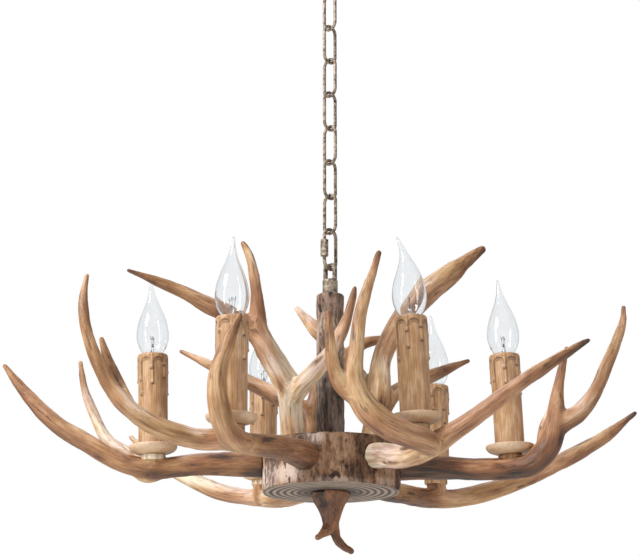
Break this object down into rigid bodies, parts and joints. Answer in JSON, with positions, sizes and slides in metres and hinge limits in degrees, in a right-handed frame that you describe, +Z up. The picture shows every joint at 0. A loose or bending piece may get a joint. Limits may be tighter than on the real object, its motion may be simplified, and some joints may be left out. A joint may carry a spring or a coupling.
{
  "type": "antler chandelier",
  "caption": "Rustic chandelier: antler arms with candle-style lamps round a log hub, more antlers above it, hung on a chain from a ceiling cup.",
  "frame": {"origin": "middle of the ceiling bracket's two screw holes, on the ceiling plane", "axes": "+Z up into the ceiling, the lamp hangs along -Z; -Y faces the viewer of the picture and +X is to the viewer's right"},
  "size_m": [0.6886, 0.4435, 0.7125],
  "materials": {
    "antler": "cast resin, tan to cream with brown lengthwise streaks",
    "antler_dark": "cast resin, dark brown",
    "log": "cast resin with a bark face, brown with dark cracks",
    "log_end": "cast resin with growth rings, grey-brown",
    "bark": "cast resin with bark, dark grey-brown",
    "candle": "painted to look like wood-grained wax, with drips",
    "pan": "smooth tan, satin",
    "clear_glass": "clear",
    "cap": "nickel-plated, threaded",
    "aged_metal": "antiqued, cream rubbed over dark brown",
    "socket": "moulded, off-white",
    "terminal": "moulded, off-white",
    "steel": "zinc-plated"
  },
  "bodies": {
    "ceiling": {"canopy": "aged_metal", "canopy_bracket": "steel", "canopy_collar": "aged_metal", "canopy_loop": "aged_metal"},
    "link_1": {"chain_link_1": "aged_metal"},
    "link_2": {"chain_link_2": "aged_metal"},
    "link_3": {"chain_link_3": "aged_metal"},
    "link_4": {"chain_link_4": "aged_metal"},
    "link_5": {"chain_link_5": "aged_metal"},
    "link_6": {"chain_link_6": "aged_metal"},
    "link_7": {"chain_link_7": "aged_metal"},
    "link_8": {"chain_link_8": "aged_metal"},
    "quick_link": {"quick_link": "aged_metal"},
    "gate_sleeve": {"quick_link_sleeve": "aged_metal"},
    "lamp": {"shackle": "aged_metal", "stem": "bark", "centre_tube": "steel", "tube_nuts": "steel", "hub": "log", "hub_cover": "log_end", "finial": "antler_dark", "terminal_block": "terminal", "arm_screws": "steel", "crown_screws": "steel", "candle_nipples": "steel", "lamp_sockets": "socket", "arm_left": "antler", "arm_front_left": "antler", "arm_front_right": "antler", "arm_right": "antler", "arm_back_right": "antler", "arm_back_left": "antler", "crown_front": "antler", "crown_right": "antler", "crown_back": "antler", "candle_pan_1": "pan", "candle_pan_2": "pan", "candle_pan_3": "pan", "candle_pan_4": "pan", "candle_pan_5": "pan", "candle_pan_6": "pan", "candle_sleeve_1": "candle", "candle_sleeve_2": "candle", "candle_sleeve_3": "candle", "candle_sleeve_4": "candle", "candle_sleeve_5": "candle", "candle_sleeve_6": "candle"},
    "bulb_1": {"bulb_glass_1": "clear_glass", "bulb_cap_1": "cap"},
    "bulb_2": {"bulb_glass_2": "clear_glass", "bulb_cap_2": "cap"},
    "bulb_3": {"bulb_glass_3": "clear_glass", "bulb_cap_3": "cap"},
    "bulb_4": {"bulb_glass_4": "clear_glass", "bulb_cap_4": "cap"},
    "bulb_5": {"bulb_glass_5": "clear_glass", "bulb_cap_5": "cap"},
    "bulb_6": {"bulb_glass_6": "clear_glass", "bulb_cap_6": "cap"}
  },
  "joints": [
    {"name": "swing_link_1", "type": "hinge", "parent": "ceiling", "child": "link_1", "pos_m": [0, 0, -0.0605], "axis": [0.7071, -0.7071, 0], "range_deg": [-10, 10]},
    {"name": "swing_link_2", "type": "hinge", "parent": "link_1", "child": "link_2", "pos_m": [0, 0, -0.09925], "axis": [0.7071, 0.7071, 0], "range_deg": [-10, 10]},
    {"name": "swing_link_3", "type": "hinge", "parent": "link_2", "child": "link_3", "pos_m": [0, 0, -0.13825], "axis": [0.7071, -0.7071, 0], "range_deg": [-10, 10]},
    {"name": "swing_link_4", "type": "hinge", "parent": "link_3", "child": "link_4", "pos_m": [0, 0, -0.17725], "axis": [0.7071, 0.7071, 0], "range_deg": [-10, 10]},
    {"name": "swing_link_5", "type": "hinge", "parent": "link_4", "child": "link_5", "pos_m": [0, 0, -0.21625], "axis": [0.7071, -0.7071, 0], "range_deg": [-10, 10]},
    {"name": "swing_link_6", "type": "hinge", "parent": "link_5", "child": "link_6", "pos_m": [0, 0, -0.25525], "axis": [0.7071, 0.7071, 0], "range_deg": [-10, 10]},
    {"name": "swing_link_7", "type": "hinge", "parent": "link_6", "child": "link_7", "pos_m": [0, 0, -0.29425], "axis": [0.7071, -0.7071, 0], "range_deg": [-10, 10]},
    {"name": "swing_link_8", "type": "hinge", "parent": "link_7", "child": "link_8", "pos_m": [0, 0, -0.33325], "axis": [0.7071, 0.7071, 0], "range_deg": [-10, 10]},
    {"name": "swing_quick_link", "type": "hinge", "parent": "link_8", "child": "quick_link", "pos_m": [0, 0, -0.37225], "axis": [0.7071, -0.7071, 0], "range_deg": [-10, 10]},
    {"name": "turn_gate_sleeve", "type": "hinge", "parent": "quick_link", "child": "gate_sleeve", "pos_m": [-0.00601, -0.00601, -0.39012], "axis": [0, 0, 1], "range_deg": [0, 1440]},
    {"name": "twist_lamp", "type": "hinge", "parent": "quick_link", "child": "lamp", "pos_m": [0, 0, -0.41205], "axis": [0, 0, 1], "range_deg": [-25, 25]},
    {"name": "unscrew_bulb_1", "type": "hinge", "parent": "lamp", "child": "bulb_1", "pos_m": [-0.18437, 0, -0.53059], "axis": [-0.0297, 0, 0.9996], "range_deg": [0, 1080]},
    {"name": "unscrew_bulb_2", "type": "hinge", "parent": "lamp", "child": "bulb_2", "pos_m": [-0.09495, -0.15686, -0.53055], "axis": [-0.0087, 0, 1], "range_deg": [0, 1080]},
    {"name": "unscrew_bulb_3", "type": "hinge", "parent": "lamp", "child": "bulb_3", "pos_m": [0.07715, -0.15771, -0.53061], "axis": [-0.0401, 0, 0.9992], "range_deg": [0, 1080]},
    {"name": "unscrew_bulb_4", "type": "hinge", "parent": "lamp", "child": "bulb_4", "pos_m": [0.18235, 0, -0.53059], "axis": [-0.0332, 0, 0.9995], "range_deg": [0, 1080]},
    {"name": "unscrew_bulb_5", "type": "hinge", "parent": "lamp", "child": "bulb_5", "pos_m": [0.11759, 0.15051, -0.53055], "axis": [0, 0, 1], "range_deg": [0, 1080]},
    {"name": "unscrew_bulb_6", "type": "hinge", "parent": "lamp", "child": "bulb_6", "pos_m": [-0.07396, 0.1586, -0.53055], "axis": [0, 0, 1], "range_deg": [0, 1080]}
  ]
}
